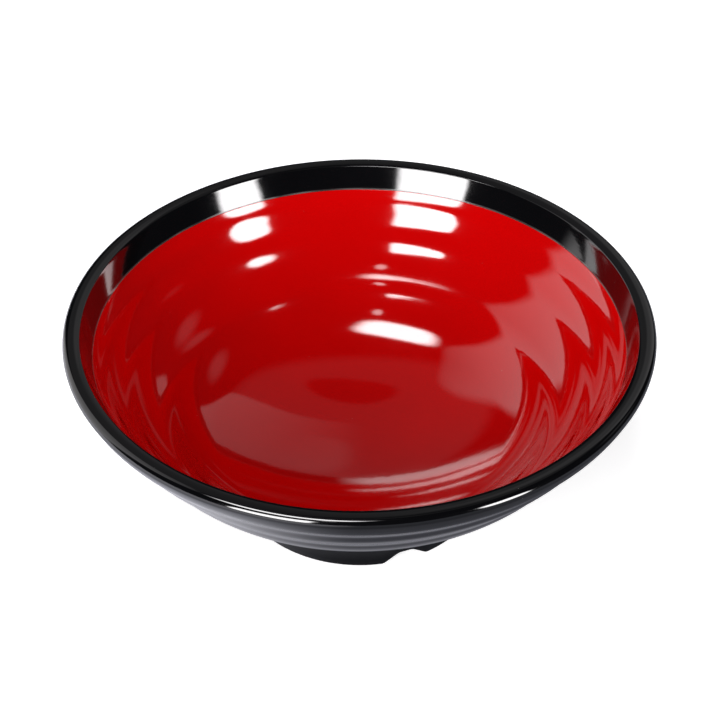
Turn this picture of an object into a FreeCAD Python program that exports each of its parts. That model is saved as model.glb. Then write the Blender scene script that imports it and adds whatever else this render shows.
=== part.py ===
import FreeCAD, Part
import math
import os

# A wide noodle bowl, compression-moulded from melamine in two shots: a black shell with a crowned
# rim and a foot ring, and a red lining fused into it. Everything but the drain notches in the foot
# ring is turned about +Z. Millimetres; the origin is the centre of the foot ring's underside.
# A profile point is (radius, height).

# Both faces of the wall are waves. Each is a run of arcs, every one tangent to the one before,
# starting at the rim's crest, one inwards and one outwards, and going down towards the axis. An
# arc is given by its radius and by the slope it ends at, in degrees of fall towards the axis. The
# slope lessens along an arc with a positive radius, which is hollow towards the food, and grows
# along one with a negative radius, which is a ridge. One more arc, level at the axis, closes each
# run. The first two arcs of each run round the rim.
bowl_height = 78.3
crest_radius = 102.25
inner_arcs = [
    (-8.4, 22.0),
    (-0.45, 68.0),
    (91.4, 62.0),
    (19.8, 51.3),
    (-25.2, 62.7),
    (28.9, 46.4),
    (-30.5, 56.1),
    (37.2, 36.5),
    (-22.4, 53.3),
    (39.6, 25.4),
]
outer_arcs = [
    (3.6, 155.0),
    (2.14, 67.5),
    (60.0, 64.2),
    (15.0, 47.7),
    (-28.9, 61.3),
    (37.3, 47.1),
    (-26.4, 59.7),
    (44.5, 38.0),
    (-24.0, 53.0),
    (44.5, 25.4),
]

# The lining: its edge lies flush in the third arc of the inner face.
lining_top = 69.2
lining_thickness = 1.3

# Foot ring. Inside it, the underside follows the same closing arc as outside.
foot_radius = 46.9
foot_width = 4.6
foot_draft_angle = 8.0
foot_root_round = 3.0
foot_edge_round = 0.9

# Drain notches: low arches cut through the foot ring.
notch_count = 4
notch_first_angle = 20.4
notch_height = 4.5
notch_bottom_width = 16.8
notch_top_width = 5.2
notch_bottom_round = 2.0
notch_top_round = 4.0
notch_overcut = 0.1

AXIS = FreeCAD.Vector(0, 0, 1)
ORIGIN = FreeCAD.Vector(0, 0, 0)


def vector(point):
    """A profile point, in the upright plane that is turned about the axis."""
    return FreeCAD.Vector(point[0], 0, point[1])


def towards(start, end, distance):
    """The point at a distance from start on the way to end."""
    share = distance / math.dist(start, end)
    return (start[0] + (end[0] - start[0]) * share, start[1] + (end[1] - start[1]) * share)


def halfway(start, end):
    return ((start[0] + end[0]) / 2, (start[1] + end[1]) / 2)


def beneath(point, slope, distance):
    """The point at a distance under a surface that has this slope at the given point."""
    angle = math.radians(slope)
    return (point[0] + distance * math.sin(angle), point[1] - distance * math.cos(angle))


def line_edge(start, end):
    return Part.makeLine(vector(start), vector(end))


def arc_edge(start, end, centre):
    """The shorter arc from start to end about centre."""
    middle = towards(centre, halfway(start, end), math.dist(centre, start))
    return Part.Arc(vector(start), vector(middle), vector(end)).toShape()


def run_down(start, slope, arcs):
    """The (start, end, centre) of each arc of a run that leaves start at a slope."""
    run = []
    for radius, end_slope in arcs:
        centre = beneath(start, slope, -radius)
        end = beneath(centre, end_slope, radius)
        run.append((start, end, centre))
        start, slope = end, end_slope
    return run


def closing_arc(start, slope):
    """The arc that leaves start at a slope and is level at the axis."""
    return run_down(start, slope, [(start[0] / math.sin(math.radians(slope)), 0.0)])[0]


def edges_of(run):
    return [arc_edge(*arc) for arc in run]


def rounded_path(points, rounds):
    """Straight edges through the points, each corner on the way rounded by its own radius."""
    edges = []
    start = points[0]
    for before, corner, after, radius in zip(points, points[1:], points[2:], rounds):
        to_before = math.atan2(before[1] - corner[1], before[0] - corner[0])
        to_after = math.atan2(after[1] - corner[1], after[0] - corner[0])
        half_angle = math.acos(math.cos(to_before - to_after)) / 2
        arc_start = towards(corner, before, radius / math.tan(half_angle))
        arc_end = towards(corner, after, radius / math.tan(half_angle))
        centre = towards(corner, halfway(arc_start, arc_end), radius / math.sin(half_angle))
        edges += [line_edge(start, arc_start), arc_edge(arc_start, arc_end, centre)]
        start = arc_end
    return edges + [line_edge(start, points[-1])]


CREST = (crest_radius, bowl_height)
OUTER_RUN = run_down(CREST, 180.0, outer_arcs)
UNDERSIDE = closing_arc(OUTER_RUN[-1][1], outer_arcs[-1][1])
CROWN, RIM_EDGE, UPPER_BAND = run_down(CREST, 0.0, inner_arcs[:3])


def lining_edge():
    """Where the lining's edge meets the band: the point and the slope there."""
    radius, centre = inner_arcs[2][0], UPPER_BAND[2]
    slope = math.degrees(math.acos((centre[1] - lining_top) / radius))
    return beneath(centre, slope, radius), slope


def lining_layer(depth):
    """The run that follows the inner face at a depth, from the lining's edge to the axis."""
    point, slope = lining_edge()
    arcs = [(radius + depth, end_slope) for radius, end_slope in inner_arcs[2:]]
    run = run_down(beneath(point, slope, depth), slope, arcs)
    return run + [closing_arc(run[-1][1], arcs[-1][1])]


def seam():
    """The surface where lining and shell are fused, out to the lining's edge."""
    run = lining_layer(lining_thickness)
    return [line_edge(lining_edge()[0], run[0][0])] + edges_of(run)


def turned(edges):
    """The solid made by turning a closed outline about the axis."""
    wire = Part.Wire(Part.__sortEdges__(edges))
    return Part.Face(wire).revolve(ORIGIN, AXIS, 360)


def foot_root(foot_edge, lean):
    """The round between the underside and a face of the foot ring: both ends and the centre.

    The face stands at foot_edge on the ground; lean is +1 if it leans outwards and -1 if inwards.
    """
    start, _, underside_centre = UNDERSIDE
    draft = math.tan(math.radians(foot_draft_angle))
    stand_off = foot_root_round / math.cos(math.radians(foot_draft_angle))
    radius = math.dist(start, underside_centre) + foot_root_round
    a = 1 + draft**2
    b = lean * draft * (foot_edge + lean * stand_off) - underside_centre[1]
    c = (foot_edge + lean * stand_off) ** 2 + underside_centre[1] ** 2 - radius**2
    height = (-b - math.sqrt(b * b - a * c)) / a
    centre = (foot_edge + lean * (height * draft + stand_off), height)
    on_underside = towards(centre, underside_centre, foot_root_round)
    face_angle = math.radians(foot_draft_angle)
    on_face = (
        centre[0] - lean * foot_root_round * math.cos(face_angle),
        centre[1] + foot_root_round * math.sin(face_angle),
    )
    return on_underside, on_face, centre


def foot_path():
    """From the outer wall's lower end, in under the bowl and round the foot ring to the axis."""
    start, bottom, centre = UNDERSIDE
    foot_inner_radius = foot_radius - foot_width
    outer_root = foot_root(foot_radius, 1)
    inner_root = foot_root(foot_inner_radius, -1)
    ring = rounded_path(
        [outer_root[1], (foot_radius, 0.0), (foot_inner_radius, 0.0), inner_root[1]],
        [foot_edge_round, foot_edge_round],
    )
    return (
        [arc_edge(start, outer_root[0], centre), arc_edge(*outer_root)]
        + ring
        + [arc_edge(*inner_root), arc_edge(inner_root[0], bottom, centre)]
    )


def notch(angle):
    """The cutter for one drain notch, at an angle from the front towards +X."""
    half_bottom = notch_bottom_width / 2
    half_top = notch_top_width / 2
    half_cutter = half_bottom + 2 * notch_bottom_round
    arch = rounded_path(
        [
            (-half_cutter, -notch_overcut),
            (-half_bottom, -notch_overcut),
            (-half_top, notch_height),
            (half_top, notch_height),
            (half_bottom, -notch_overcut),
            (half_cutter, -notch_overcut),
        ],
        [notch_bottom_round, notch_top_round, notch_top_round, notch_bottom_round],
    )
    corners = [
        (half_cutter, -notch_overcut),
        (half_cutter, -notch_height),
        (-half_cutter, -notch_height),
        (-half_cutter, -notch_overcut),
    ]
    base = [line_edge(start, end) for start, end in zip(corners, corners[1:])]
    cutter = Part.Face(Part.Wire(arch + base)).extrude(FreeCAD.Vector(0, 2 * foot_width, 0))
    cutter.translate(FreeCAD.Vector(0, -foot_radius - foot_width / 2, 0))
    cutter.rotate(ORIGIN, AXIS, angle)
    return cutter


def black_shell():
    """The first shot: rim, outer wall, floor and foot ring, with a seat for the lining."""
    band = [arc_edge(UPPER_BAND[0], lining_edge()[0], UPPER_BAND[2])]
    rim = edges_of([CROWN, RIM_EDGE]) + band
    core = line_edge(lining_layer(lining_thickness)[-1][1], UNDERSIDE[1])
    shell = turned(edges_of(OUTER_RUN) + foot_path() + [core] + seam() + rim)
    for number in range(notch_count):
        shell = shell.cut(notch(notch_first_angle + number * 360 / notch_count))
    return shell


def red_lining():
    """The second shot: the coloured skin the food touches, with its edge flush in the band."""
    inner = lining_layer(0)
    core = line_edge(inner[-1][1], lining_layer(lining_thickness)[-1][1])
    return turned(edges_of(inner) + [core] + seam())


def main():
    os.makedirs("parts", exist_ok=True)
    for make in (black_shell, red_lining):
        solid = make().Solids[0]
        solid.exportStep(f"parts/{make.__name__}.step")
        print(make.__name__, solid.isValid(), round(solid.Volume), solid.BoundBox)


main()
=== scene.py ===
import math

import bpy
from mathutils import Matrix, Vector


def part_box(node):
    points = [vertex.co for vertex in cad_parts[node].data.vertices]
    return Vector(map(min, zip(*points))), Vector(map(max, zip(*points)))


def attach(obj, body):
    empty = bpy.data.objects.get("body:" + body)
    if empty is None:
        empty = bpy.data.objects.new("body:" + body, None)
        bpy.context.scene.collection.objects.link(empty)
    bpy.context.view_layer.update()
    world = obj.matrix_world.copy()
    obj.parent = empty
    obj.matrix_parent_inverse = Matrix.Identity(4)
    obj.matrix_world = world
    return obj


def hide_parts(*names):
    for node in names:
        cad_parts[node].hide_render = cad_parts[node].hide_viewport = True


# The looks of a two-tone melamine noodle bowl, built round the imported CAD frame. The black shell
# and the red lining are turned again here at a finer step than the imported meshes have, because
# their gloss shows every facet. A profile point is (radius, height) in millimetres of the design,
# and the frame's own height sets the size of one of them.

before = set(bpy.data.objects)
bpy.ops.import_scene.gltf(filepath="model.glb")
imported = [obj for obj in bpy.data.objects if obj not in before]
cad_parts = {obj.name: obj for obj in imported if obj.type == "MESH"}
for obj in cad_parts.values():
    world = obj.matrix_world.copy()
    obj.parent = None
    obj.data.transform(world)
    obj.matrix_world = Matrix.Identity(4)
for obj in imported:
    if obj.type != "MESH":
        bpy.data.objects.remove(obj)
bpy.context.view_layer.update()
shell_low, shell_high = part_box("black_shell")
BOWL_HEIGHT = 78.3
MM = (shell_high.z - shell_low.z) / BOWL_HEIGHT

# The faces of the wall, as (radius, end slope) arcs that go down from the rim's crest, each tangent
# to the one before. The slope is in degrees of fall towards the axis. A positive radius is hollow
# towards the food and a negative one is a ridge. The inner face follows RIM_ARCS and then
# INNER_ARCS. The outer face follows OUTER_ARCS, and the first two of those round the rim.
CREST = (102.25, BOWL_HEIGHT)
RIM_ARCS = [
    (-8.4, 22.0),
    (-0.45, 68.0),
]
INNER_ARCS = [
    (91.4, 62.0),
    (19.8, 51.3),
    (-25.2, 62.7),
    (28.9, 46.4),
    (-30.5, 56.1),
    (37.2, 36.5),
    (-22.4, 53.3),
    (39.6, 25.4),
]
OUTER_ARCS = [
    (3.6, 155.0),
    (2.14, 67.5),
    (60.0, 64.2),
    (15.0, 47.7),
    (-28.9, 61.3),
    (37.3, 47.1),
    (-26.4, 59.7),
    (44.5, 38.0),
    (-24.0, 53.0),
    (44.5, 25.4),
]

# The lining. Its edge and the band's are rounded where they meet, which shows the seam, and a
# hair's gap keeps the two meshes' surfaces apart.
LINING_TOP = 69.2
LINING_THICKNESS = 1.3
SEAM_ROUND = 0.15
SEAM_GAP = 0.02

# The foot ring.
FOOT_RADIUS = 46.9
FOOT_WIDTH = 4.6
FOOT_DRAFT = math.radians(8.0)
FOOT_ROOT_ROUND = 3.0
FOOT_EDGE_ROUND = 0.9

# Drain notches: the foot ring's underside is lifted to a low arch with sloping sides. The blends
# round its lower and upper corners. Nothing above the reach is moved.
NOTCH_COUNT = 4
NOTCH_FIRST_ANGLE = 20.4
NOTCH_HEIGHT = 4.5
NOTCH_HALF_WIDTH = 8.4
NOTCH_TOP_HALF_WIDTH = 2.6
NOTCH_OVERCUT = 0.1
NOTCH_SLOPE = (NOTCH_HEIGHT + NOTCH_OVERCUT) / (NOTCH_HALF_WIDTH - NOTCH_TOP_HALF_WIDTH)
NOTCH_BOTTOM_BLEND = 0.53
NOTCH_TOP_BLEND = 1.06
NOTCH_REACH = 9.0

# How finely the outlines are divided: steps round the axis, and the longest step and the largest
# turn along an arc.
STEPS_ROUND = 480
ARC_STEP = 1.0
ARC_TURN = math.radians(5.0)
SMALL_ARC_STEPS = 8
FOOT_FACE_STEPS = 12
FOOT_SOLE_STEPS = 5

# A ring of grime at the seam. It fades in from the first to the second of these heights above the
# lining's edge, and out again from the third to the fourth.
GRIME_LEVELS = (-0.1, 0.0, 0.35, 0.7)

# The stage, in metres. It lies just below the bowl's foot.
STAGE_DROP = 0.0002
STAGE_STEPS_ROUND = 96
SWEEP_FLAT_RADIUS = 3.5
SWEEP_BEND = 1.0
SWEEP_WALL = 3.5
TABLE_RADIUS = 1.5
# The table's painted light and shade reaches out to this radius.
TABLE_PAINT_RADIUS = 0.3

# The camera, in metres, degrees and millimetres of film.
CAMERA_PLACE = (0.0, -0.49874, 0.46101)
CAMERA_AIM = (0.00015, 0.0, 0.05819)
CAMERA_ROLL = -0.334
LENS = 88.4
SENSOR_WIDTH = 36.0


def beneath(point, slope, distance):
    """The point at a distance under a surface that has this slope, in degrees, at the point."""
    angle = math.radians(slope)
    return (point[0] + distance * math.sin(angle), point[1] - distance * math.cos(angle))


def arc_points(centre, radius, slope, end_slope):
    """Points along an arc, without its first one."""
    turn = math.radians(abs(end_slope - slope))
    count = max(2, math.ceil(turn / ARC_TURN), math.ceil(turn * abs(radius) / ARC_STEP))
    slopes = [slope + (end_slope - slope) * step / count for step in range(1, count + 1)]
    return [beneath(centre, value, radius) for value in slopes]


def run_down(start, slope, arcs):
    """Points down a run of tangent arcs that leaves start at a slope."""
    points = [start]
    for radius, end_slope in arcs:
        centre = beneath(points[-1], slope, -radius)
        points += arc_points(centre, radius, slope, end_slope)
        slope = end_slope
    return points


def to_axis(points, slope):
    """The run of points carried on to the axis by one arc that is level there."""
    radius = points[-1][0] / math.sin(math.radians(slope))
    centre = beneath(points[-1], slope, -radius)
    return points + arc_points(centre, radius, slope, 0.0)


def lining_edge():
    """Where the lining's edge meets the band: the point and the slope there."""
    radius = INNER_ARCS[0][0]
    band_top = run_down(CREST, 0.0, RIM_ARCS)[-1]
    centre = beneath(band_top, RIM_ARCS[-1][1], -radius)
    slope = math.degrees(math.acos((centre[1] - LINING_TOP) / radius))
    return beneath(centre, slope, radius), slope


def lining_layer(depth, lead=0.0):
    """The run at a depth under the inner face, from the lining's edge to the axis.

    lead is how far down the face it starts, to leave room for a rounded edge.
    """
    point, slope = lining_edge()
    first_radius = INNER_ARCS[0][0]
    start_slope = slope - math.degrees(lead / first_radius)
    centre = beneath(point, slope, -first_radius)
    start = beneath(centre, start_slope, first_radius + depth)
    arcs = [(radius + depth, end_slope) for radius, end_slope in INNER_ARCS]
    return to_axis(run_down(start, start_slope, arcs), INNER_ARCS[-1][1])


def lining_outline():
    """The red lining's half section, from the axis up its face, round its edge and back."""
    face = lining_layer(0.0, SEAM_ROUND)
    back = lining_layer(LINING_THICKNESS)
    slope = lining_edge()[1]
    centre = beneath(face[0], slope, SEAM_ROUND)
    edge = arc_points(centre, -SEAM_ROUND, slope, slope - 90)
    return face[::-1] + edge + back


def band_points():
    """Up the black band from the lining's edge and on to the rim's crest."""
    point, slope = lining_edge()
    band = run_down(CREST, 0.0, RIM_ARCS)
    radius = INNER_ARCS[0][0]
    start_slope = slope + math.degrees(SEAM_ROUND / radius)
    centre = beneath(point, slope, -radius)
    band += arc_points(centre, radius, RIM_ARCS[-1][1], start_slope)
    corner_centre = beneath(band[-1], start_slope, SEAM_ROUND)
    corner = arc_points(corner_centre, -SEAM_ROUND, start_slope, start_slope + 90)
    return (band + corner)[::-1]


def foot_root(foot_edge, lean, underside_centre, underside_radius):
    """Centre of the round between the underside and a face of the foot ring."""
    draft = math.tan(FOOT_DRAFT)
    stand_off = FOOT_ROOT_ROUND / math.cos(FOOT_DRAFT)
    a = 1 + draft**2
    b = lean * draft * (foot_edge + lean * stand_off) - underside_centre[1]
    c = (foot_edge + lean * stand_off) ** 2 + underside_centre[1] ** 2
    c -= (underside_radius + FOOT_ROOT_ROUND) ** 2
    height = (-b - math.sqrt(b * b - a * c)) / a
    return (foot_edge + lean * (height * draft + stand_off), height)


def turn_points(centre, radius, first, last):
    """Points round a small arc between two directions, in degrees from outwards towards up."""
    turn = (last - first) / SMALL_ARC_STEPS
    angles = [math.radians(first + turn * step) for step in range(SMALL_ARC_STEPS + 1)]
    return [(centre[0] + radius * math.cos(a), centre[1] + radius * math.sin(a)) for a in angles]


def straight(start, end, count):
    """Points between start and end, without either."""
    shares = [step / count for step in range(1, count)]
    return [tuple(s + (e - s) * share for s, e in zip(start, end)) for share in shares]


def foot_points(wall_end, slope):
    """From the outer wall's end in under the bowl, round the foot ring and on to the axis."""
    draft = math.degrees(FOOT_DRAFT)
    radius = wall_end[0] / math.sin(math.radians(slope))
    centre = beneath(wall_end, slope, -radius)
    outer = foot_root(FOOT_RADIUS, 1, centre, radius)
    inner = foot_root(FOOT_RADIUS - FOOT_WIDTH, -1, centre, radius)
    outer_slope = math.degrees(math.atan2(outer[0], centre[1] - outer[1]))
    inner_slope = math.degrees(math.atan2(inner[0], centre[1] - inner[1]))
    edge_inset = FOOT_EDGE_ROUND / math.cos(FOOT_DRAFT) - FOOT_EDGE_ROUND * math.tan(FOOT_DRAFT)
    outer_edge = (FOOT_RADIUS - edge_inset, FOOT_EDGE_ROUND)
    inner_edge = (2 * FOOT_RADIUS - FOOT_WIDTH - outer_edge[0], FOOT_EDGE_ROUND)
    outside = arc_points(centre, radius, slope, outer_slope)
    root_out = turn_points(outer, FOOT_ROOT_ROUND, 90 + outer_slope, 180 - draft)
    edge_out = turn_points(outer_edge, FOOT_EDGE_ROUND, -draft, -90)
    edge_in = turn_points(inner_edge, FOOT_EDGE_ROUND, -90, -180 + draft)
    root_in = turn_points(inner, FOOT_ROOT_ROUND, draft, 90 + inner_slope)
    return (
        outside
        + root_out[1:]
        + straight(root_out[-1], edge_out[0], FOOT_FACE_STEPS)
        + edge_out
        + straight(edge_out[-1], edge_in[0], FOOT_SOLE_STEPS)
        + edge_in
        + straight(edge_in[-1], root_in[0], FOOT_FACE_STEPS)
        + root_in
        + arc_points(centre, radius, inner_slope, 0.0)
    )


def shell_outline():
    """The black shell's half section, from the axis out along the seam and back underneath."""
    seat = lining_layer(LINING_THICKNESS + SEAM_GAP)[::-1]
    outer = run_down(CREST, 180.0, OUTER_ARCS)
    return seat + band_points() + outer[1:] + foot_points(outer[-1], OUTER_ARCS[-1][1])


def soft_floor(value, blend):
    """The value, or zero if that is more, with a smooth change-over."""
    if abs(value) >= blend:
        return max(0.0, value)
    return (value + blend) ** 2 / (4 * blend)


def notch_lift(radius, angle):
    """How high the foot ring's underside is lifted by a drain notch at a radius and angle."""
    lift = 0.0
    for number in range(NOTCH_COUNT):
        off = angle - math.radians(NOTCH_FIRST_ANGLE + number * 360 / NOTCH_COUNT)
        if math.cos(off) > 0:
            across = abs(radius * math.sin(off))
            rise = soft_floor((NOTCH_HALF_WIDTH - across) * NOTCH_SLOPE, NOTCH_BOTTOM_BLEND)
            lift += NOTCH_HEIGHT - soft_floor(NOTCH_HEIGHT - rise, NOTCH_TOP_BLEND)
    return lift


def in_notch_reach(point):
    """Whether a point of the outline is low enough on the foot ring for a notch to move it."""
    return point[1] < NOTCH_REACH and abs(point[0] - FOOT_RADIUS + FOOT_WIDTH / 2) < FOOT_WIDTH


def on_circle(radius, height, step, steps):
    """A point on a circle about the axis. Steps are counted from the front towards +X."""
    angle = 2 * math.pi * step / steps
    return (radius * math.sin(angle), -radius * math.cos(angle), height)


def strip(first, rings, step, steps):
    """The faces from one step to the next between the rings of vertices, which start at first."""
    following = (step + 1) % steps
    starts = [first + ring * steps for ring in range(rings)]
    return [
        (here + step, there + step, there + following, here + following)
        for here, there in zip(starts, starts[1:])
    ]


def smooth_object(name, vertices, faces):
    mesh = bpy.data.meshes.new(name)
    mesh.from_pydata(vertices, [], faces)
    mesh.update()
    mesh.shade_smooth()
    made = bpy.data.objects.new(name, mesh)
    bpy.context.scene.collection.objects.link(made)
    return made


def lathe(name, outline, notched=False):
    """A closed mesh turned from a half section that starts and ends on the axis."""
    vertices = [(0.0, 0.0, outline[0][1] * MM)]
    rings = outline[1:-1]
    for radius, height in rings:
        for step in range(STEPS_ROUND):
            lift = 0.0
            if notched and in_notch_reach((radius, height)):
                angle = 2 * math.pi * step / STEPS_ROUND
                lift = notch_lift(radius, angle) * (1 - height / NOTCH_REACH)
            vertices.append(on_circle(radius * MM, (height + lift) * MM, step, STEPS_ROUND))
    vertices.append((0.0, 0.0, outline[-1][1] * MM))
    faces = []
    last = 1 + (len(rings) - 1) * STEPS_ROUND
    for step in range(STEPS_ROUND):
        following = (step + 1) % STEPS_ROUND
        faces.append((0, 1 + step, 1 + following))
        faces += strip(1, len(rings), step, STEPS_ROUND)
        faces.append((last + following, last + step, len(vertices) - 1))
    return smooth_object(name, vertices, faces)


def set_inputs(tree, made, sockets):
    """Give a node's inputs, by name or number, a value or another node's output."""
    for key, value in sockets.items():
        if isinstance(value, bpy.types.NodeSocket):
            tree.links.new(value, made.inputs[key])
        else:
            made.inputs[key].default_value = value


def node(tree, kind, sockets):
    made = tree.nodes.new(kind)
    set_inputs(tree, made, sockets)
    return made


def noise(tree, point, scale, detail, roughness=0.5):
    sockets = {"Vector": point, "Scale": scale, "Detail": detail, "Roughness": roughness}
    return node(tree, "ShaderNodeTexNoise", sockets).outputs["Fac"]


def remap(tree, value, low, high, to_low, to_high, smooth=False):
    """A value carried from one range to another and held at its ends."""
    sockets = {"Value": value, "From Min": low, "From Max": high, "To Min": to_low, "To Max": to_high}
    made = node(tree, "ShaderNodeMapRange", sockets)
    made.interpolation_type = "SMOOTHSTEP" if smooth else "LINEAR"
    return made.outputs["Result"]


def maths(tree, operation, *values):
    made = node(tree, "ShaderNodeMath", dict(enumerate(values)))
    made.operation = operation
    return made.outputs["Value"]


def product(tree, first, second):
    return maths(tree, "MULTIPLY", first, second)


def mixed(tree, share, first, second):
    """A colour between two, each given as a colour or an output."""
    made = tree.nodes.new("ShaderNodeMix")
    made.data_type = "RGBA"
    sockets = {"Factor": share}
    for number, colour in ((6, first), (7, second)):
        sockets[number] = colour + (1.0,) if isinstance(colour, tuple) else colour
    set_inputs(tree, made, sockets)
    return made.outputs[2]


def colour_ramp(tree, value, stops):
    """The colour at a value between 0 and 1, from (value, colour) stops."""
    ramp = node(tree, "ShaderNodeValToRGB", {"Fac": value})
    elements = ramp.color_ramp.elements
    while len(elements) < len(stops):
        elements.new(0.5)
    for element, (level, colour) in zip(elements, stops):
        element.position = level
        element.color = colour + (1.0,)
    return ramp.outputs["Color"]


def object_point(tree):
    return tree.nodes.new("ShaderNodeTexCoord").outputs["Object"]


def xyz(tree, point):
    split = node(tree, "ShaderNodeSeparateXYZ", {0: point})
    return split.outputs["X"], split.outputs["Y"], split.outputs["Z"]


def from_axis(tree, x, y):
    """The distance from the bowl's axis."""
    return maths(tree, "SQRT", maths(tree, "ADD", product(tree, x, x), product(tree, y, y)))


def ring_point(tree, point):
    """A texture point that changes fast up the wall and slowly round it, as turning marks do."""
    around = 0.06
    x, y, z = xyz(tree, point)
    sockets = {
        "X": product(tree, x, around),
        "Y": product(tree, y, around),
        "Z": maths(tree, "ADD", from_axis(tree, x, y), z),
    }
    return node(tree, "ShaderNodeCombineXYZ", sockets).outputs[0]


def bumped(tree, height, distance, normal=None):
    """The normal of a surface raised by up to a distance, in metres, where a 0 to 1 height says."""
    sockets = {"Strength": 1.0, "Distance": distance, "Height": height}
    if normal is not None:
        sockets["Normal"] = normal
    return node(tree, "ShaderNodeBump", sockets).outputs["Normal"]


def new_material(name):
    """A material with only a Principled shader and its output."""
    material = bpy.data.materials.new(name)
    material.use_nodes = True
    tree = material.node_tree
    tree.nodes.clear()
    shader = tree.nodes.new("ShaderNodeBsdfPrincipled")
    node(tree, "ShaderNodeOutputMaterial", {"Surface": shader.outputs["BSDF"]})
    return material, tree, shader


def dust(tree, point):
    """1 in small specks and 0 elsewhere. There are specks only where a coarser noise is strong."""
    cell_scale = 300.0
    speck_edge = 0.045
    speck_core = 0.018
    patch_scale = 93.0
    rarity = 0.64
    cells = node(tree, "ShaderNodeTexVoronoi", {"Vector": point, "Scale": cell_scale})
    specks = remap(tree, cells.outputs["Distance"], speck_edge, speck_core, 0.0, 1.0)
    patches = noise(tree, point, patch_scale, detail=0.0)
    return product(tree, specks, maths(tree, "GREATER_THAN", patches, rarity))


def seam_grime(tree, point):
    """How much grime there is at a point, in a thin patchy ring just above the seam."""
    height = xyz(tree, point)[2]
    start, full, fading, end = ((LINING_TOP + level) * MM for level in GRIME_LEVELS)
    lower_side = remap(tree, height, start, full, 0.0, 1.0)
    upper_side = remap(tree, height, end, fading, 0.0, 1.0)
    patches = remap(tree, noise(tree, point, 90.0, detail=4.0), 0.3, 0.7, 0.35, 1.0)
    return product(tree, product(tree, lower_side, upper_side), patches)


def melamine(name, colour, deep_colour, has_seam):
    """Moulded melamine: faint cloudiness in the colour, turning marks, orange peel and dust.

    Its clear glaze is the shader's coat.
    """
    material, tree, shader = new_material(name)
    smooth_roughness = 0.056
    smudged_roughness = 0.0945
    speck_colour = (0.30, 0.26, 0.25)
    grime_colour = (0.075, 0.065, 0.062)
    grime_roughness = 0.3
    turning_depth = 0.0000035
    peel_depth = 0.000012
    point = object_point(tree)
    clouds = remap(tree, noise(tree, point, 28.0, detail=4.0), 0.35, 0.65, 0.0, 1.0)
    base = mixed(tree, clouds, colour, deep_colour)
    base = mixed(tree, dust(tree, point), base, speck_colour)
    smudges = noise(tree, point, 45.0, detail=5.0, roughness=0.6)
    roughness = remap(tree, smudges, 0.3, 0.7, smooth_roughness, smudged_roughness)
    if has_seam:
        grime = seam_grime(tree, point)
        base = mixed(tree, grime, base, grime_colour)
        roughness = maths(tree, "ADD", roughness, product(tree, grime, grime_roughness))
    turning = noise(tree, ring_point(tree, point), 900.0, detail=2.0)
    peel = noise(tree, point, 160.0, detail=2.0)
    normal = bumped(tree, turning, turning_depth)
    normal = bumped(tree, peel, peel_depth, normal)
    set_inputs(tree, shader, {
        "Base Color": base,
        "Roughness": roughness,
        "Normal": normal,
        "IOR": 1.55,
        "Coat Weight": 1.0,
        "Coat Roughness": 0.03,
        "Coat IOR": 1.5,
        "Coat Normal": normal,
    })
    return material


def black_melamine():
    return melamine("black_melamine", (0.0019, 0.0019, 0.0023), (0.0013, 0.0013, 0.0016), True)


def red_melamine():
    return melamine("red_melamine", (0.425, 0.0001, 0.0003), (0.40, 0.0001, 0.0002), False)


def place(piece, cad_node, material):
    """Dress a piece in its material, on the bowl's one body, in place of a CAD node."""
    piece.data.materials.append(material)
    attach(piece, "root")
    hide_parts(cad_node)


def sweep_profile():
    """The studio floor, which runs up into a wall all round the bowl, so no view sees an edge."""
    flat_steps = 14
    wall_steps = 7
    flat = [(SWEEP_FLAT_RADIUS * step / flat_steps, 0.0) for step in range(flat_steps + 1)]
    turns = [math.radians(angle) for angle in range(5, 91, 5)]
    curve = [
        (SWEEP_FLAT_RADIUS + SWEEP_BEND * math.sin(turn), SWEEP_BEND * (1 - math.cos(turn)))
        for turn in turns
    ]
    wall_radius = SWEEP_FLAT_RADIUS + SWEEP_BEND
    wall = [
        (wall_radius, SWEEP_BEND + SWEEP_WALL * step / wall_steps)
        for step in range(1, wall_steps + 1)
    ]
    return flat + curve + wall


def table_profile():
    steps = 15
    return [(TABLE_RADIUS * step / steps, 0.0) for step in range(steps + 1)]


def ground(name, profile, material, seen_by_camera):
    """An open surface turned from a profile, just under the bowl, that casts no shadow on it.

    Either only the camera sees it, or only the bowl's reflections do.
    """
    vertices = [
        on_circle(radius, height, step, STAGE_STEPS_ROUND)
        for radius, height in profile
        for step in range(STAGE_STEPS_ROUND)
    ]
    faces = []
    for step in range(STAGE_STEPS_ROUND):
        faces += strip(0, len(profile), step, STAGE_STEPS_ROUND)
    made = smooth_object(name, vertices, faces)
    made.data.materials.append(material)
    made.location.z = shell_low.z - STAGE_DROP
    made.visible_camera = seen_by_camera
    made.visible_glossy = not seen_by_camera
    made.visible_diffuse = False
    made.visible_shadow = False


def pale_paper():
    """The sweep's white paper, with a faint tooth, lit a little from within."""
    material, tree, shader = new_material("pale_paper")
    fibres = noise(tree, object_point(tree), 90.0, detail=4.0)
    set_inputs(tree, shader, {
        "Base Color": mixed(tree, fibres, (0.80, 0.80, 0.80), (0.84, 0.84, 0.84)),
        "Roughness": 0.95,
        "Specular IOR Level": 0.0,
        "Emission Color": (1.0, 1.0, 1.0, 1.0),
        "Emission Strength": 0.6,
    })
    material.cycles.emission_sampling = "NONE"
    return material


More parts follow.
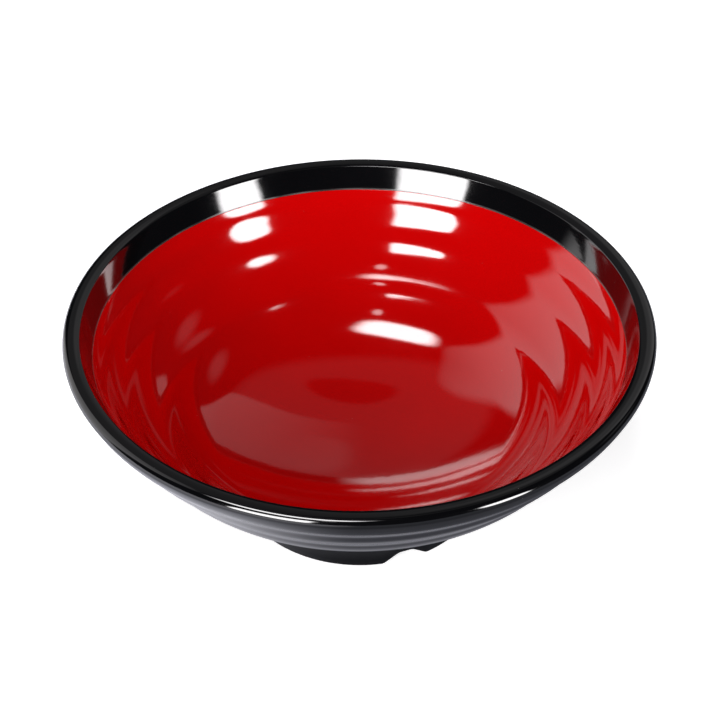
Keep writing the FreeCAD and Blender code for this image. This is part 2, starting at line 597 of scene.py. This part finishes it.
def table_painted_light_and_shade():
    """The table in the reflections, painted with light and shade: a pale ring of painted light round
    the foot, painted shade of the bowl beyond it, and painted light to the left.
    """
    material, tree, shader = new_material("table_painted_light_and_shade")
    x, y, _ = xyz(tree, object_point(tree))
    share_out = remap(tree, from_axis(tree, x, y), 0.0, TABLE_PAINT_RADIUS, 0.0, 1.0)
    # Painted shade: darker under the foot and beyond the pale ring, where the bowl shades the table.
    # The pale ring round the foot is painted light.
    rings = colour_ramp(tree, share_out, [
        (0.165, (0.10, 0.105, 0.12)),
        (0.195, (0.46, 0.47, 0.52)),
        (0.25, (0.15, 0.155, 0.18)),
        (0.38, (0.08, 0.083, 0.095)),
        (0.60, (0.13, 0.135, 0.155)),
        (0.90, (0.19, 0.20, 0.225)),
    ])
    # Painted light: the same rings made paler, for the table on the left.
    pale_rings = colour_ramp(tree, share_out, [
        (0.25, (0.80, 0.81, 0.88)),
        (0.36, (0.33, 0.34, 0.38)),
        (0.55, (0.42, 0.43, 0.48)),
        (0.85, (0.90, 0.91, 0.98)),
    ])
    # Painted light: the table grows paler towards the left.
    fully_left = -0.075
    leftness = remap(tree, x, 0.0, fully_left, 0.0, 1.0, smooth=True)
    set_inputs(tree, shader, {
        "Base Color": mixed(tree, leftness, rings, pale_rings),
        "Roughness": 0.95,
        "Specular IOR Level": 0.0,
    })
    return material


def direction(azimuth, elevation=0.0):
    """A unit vector. Azimuth is from the front towards +X, and both are in degrees."""
    a, e = math.radians(azimuth), math.radians(elevation)
    return Vector((math.sin(a) * math.cos(e), -math.cos(a) * math.cos(e), math.sin(e)))


def wall_panel(facing, across, up):
    """A panel on an upright plane one unit away, from its ranges across and up that plane.

    Returns its middle, half its width and half its height, as vectors from the bowl.
    """
    right = direction(facing + 90)
    middle = direction(facing) + right * (across[0] + across[1]) / 2
    middle.z = (up[0] + up[1]) / 2
    return middle, right * (across[1] - across[0]) / 2, Vector((0, 0, (up[1] - up[0]) / 2))


def sideways(panel):
    """The same panel with its width and height swapped, so that it fades along its width."""
    middle, wide, high = panel
    return middle, high, wide


def hung_panel(azimuth, elevation, half_width, half_height, roll=0.0):
    """A panel that faces the bowl from a direction, turned in its own plane by roll degrees."""
    middle = direction(azimuth, elevation)
    right = direction(azimuth + 90)
    up = right.cross(middle)
    up *= 1 if up.z > 0 else -1
    turn = math.radians(roll)
    wide = right * math.cos(turn) + up * math.sin(turn)
    high = up * math.cos(turn) - right * math.sin(turn)
    return middle, wide * half_width, high * half_height


def dotted(tree, ray, vector):
    made = node(tree, "ShaderNodeVectorMath", {0: ray, 1: vector})
    made.operation = "DOT_PRODUCT"
    return made.outputs["Value"]


def glow(tree, ray, panel, radiance, squareness, blur, top_share=1.0):
    """The radiance of one soft-edged panel in the direction of a ray.

    The panel is an ellipse at squareness 2 and nearly a rectangle at 8. Its edge is soft over a
    share of its half width, the blur. At its top only the top share of its radiance is left.
    """
    middle, wide, high = panel
    across, up, ahead = Matrix((wide, high, middle)).transposed().inverted()
    depth = dotted(tree, ray, ahead)
    u = maths(tree, "DIVIDE", dotted(tree, ray, across), depth)
    v = maths(tree, "DIVIDE", dotted(tree, ray, up), depth)
    powers = [maths(tree, "POWER", maths(tree, "ABSOLUTE", off), squareness) for off in (u, v)]
    spread = maths(tree, "POWER", maths(tree, "ADD", *powers), 1 / squareness)
    light = remap(tree, spread, 1 + blur / 2, 1 - blur / 2, 0.0, radiance, smooth=True)
    light = product(tree, light, maths(tree, "GREATER_THAN", depth, 0.0))
    if top_share != 1.0:
        light = product(tree, light, remap(tree, v, -1.0, 1.0, 1.0, top_share))
    return light


def panels():
    """The lights in the room: each one's panel, radiance, squareness, blur and top share."""
    front_left = wall_panel(-5, (-0.824, -0.203), (0.06, 0.83))
    front_right = wall_panel(50, (-0.155, 0.155), (0.03, 0.64))
    overhead = hung_panel(-53, 73, 0.27, 0.15, 25)
    lamp = hung_panel(-15, 57, 0.035, 0.05)
    left = wall_panel(-115, (-0.46, 0.425), (-0.2, 2.0))
    right = hung_panel(109, 32, 0.15, 0.09)
    back_right = sideways(wall_panel(180, (-1.02, 0.1), (0.3, 1.5)))
    back = wall_panel(180, (-0.55, -0.02), (0.53, 1.2))
    return [
        (front_left, 13.0, 8.0, 0.2, 1.0),
        (front_right, 13.0, 3.0, 0.35, 1.0),
        (overhead, 12.0, 3.0, 0.5, 1.0),
        (lamp, 4.0, 2.0, 1.0, 1.0),
        (left, 1.05, 4.0, 0.3, 0.25),
        (right, 0.18, 2.0, 1.2, 1.0),
        (back_right, 0.4, 6.0, 0.15, 0.15),
        (back, 0.2, 3.0, 0.7, 1.0),
    ]


def surroundings():
    """The studio: soft panels in a dark room, over a mid-grey ground."""
    world = bpy.data.worlds.new("surroundings")
    bpy.context.scene.world = world
    world.use_nodes = True
    tree = world.node_tree
    tree.nodes.clear()
    ray = tree.nodes.new("ShaderNodeTexCoord").outputs["Generated"]

    # A faint glow at the back has a darker patch in it, which the bowl's floor shows.
    dome = glow(tree, ray, hung_panel(180, 55, 0.58, 0.52), 0.08, 2.0, 0.2)
    patch = glow(tree, ray, hung_panel(174, 69, 0.21, 0.085), 0.07, 2.0, 0.3)
    total = maths(tree, "MAXIMUM", maths(tree, "SUBTRACT", dome, patch), 0.0)
    for panel in panels():
        total = maths(tree, "MAXIMUM", total, glow(tree, ray, *panel))

    # The room's own tone goes by the height of the ray's end, from straight down to straight up.
    height = dotted(tree, ray, Vector((0, 0, 1)))
    walls = colour_ramp(tree, remap(tree, height, -1.0, 1.0, 0.0, 1.0), [
        (0.0, (0.05, 0.06, 0.07)),
        (0.15, (0.28, 0.29, 0.33)),
        (0.4, (0.4, 0.4, 0.45)),
        (0.5, (0.010, 0.011, 0.013)),
        (1.0, (0.006, 0.0065, 0.008)),
    ])
    room = node(tree, "ShaderNodeBackground", {"Color": walls})
    lights = node(tree, "ShaderNodeBackground", {"Color": (1.0, 0.98, 0.99, 1.0), "Strength": total})
    both = node(tree, "ShaderNodeAddShader", {0: room.outputs[0], 1: lights.outputs[0]})
    node(tree, "ShaderNodeOutputWorld", {"Surface": both.outputs[0]})
    world.cycles.sampling_method = "MANUAL"
    world.cycles.sample_map_resolution = 1024


def camera():
    """The photograph's view: from the front, looking down 38.9 degrees, with a long lens."""
    data = bpy.data.cameras.new("camera")
    data.lens = LENS
    data.sensor_width = SENSOR_WIDTH
    made = bpy.data.objects.new("camera", data)
    made.location = CAMERA_PLACE
    level = (made.location - Vector(CAMERA_AIM)).to_track_quat("Z", "Y")
    roll = Matrix.Rotation(math.radians(CAMERA_ROLL), 3, "Z").to_quaternion()
    made.rotation_mode = "QUATERNION"
    made.rotation_quaternion = level @ roll
    bpy.context.scene.collection.objects.link(made)
    bpy.context.scene.camera = made


shell = lathe("shell_turned", shell_outline(), notched=True)
place(shell, "black_shell", black_melamine())
lining = lathe("lining_turned", lining_outline())
place(lining, "red_lining", red_melamine())
ground("studio_sweep", sweep_profile(), pale_paper(), seen_by_camera=True)
ground("table_top", table_profile(), table_painted_light_and_shade(), seen_by_camera=False)
surroundings()
camera()
bpy.context.scene.view_settings.view_transform = "Standard"
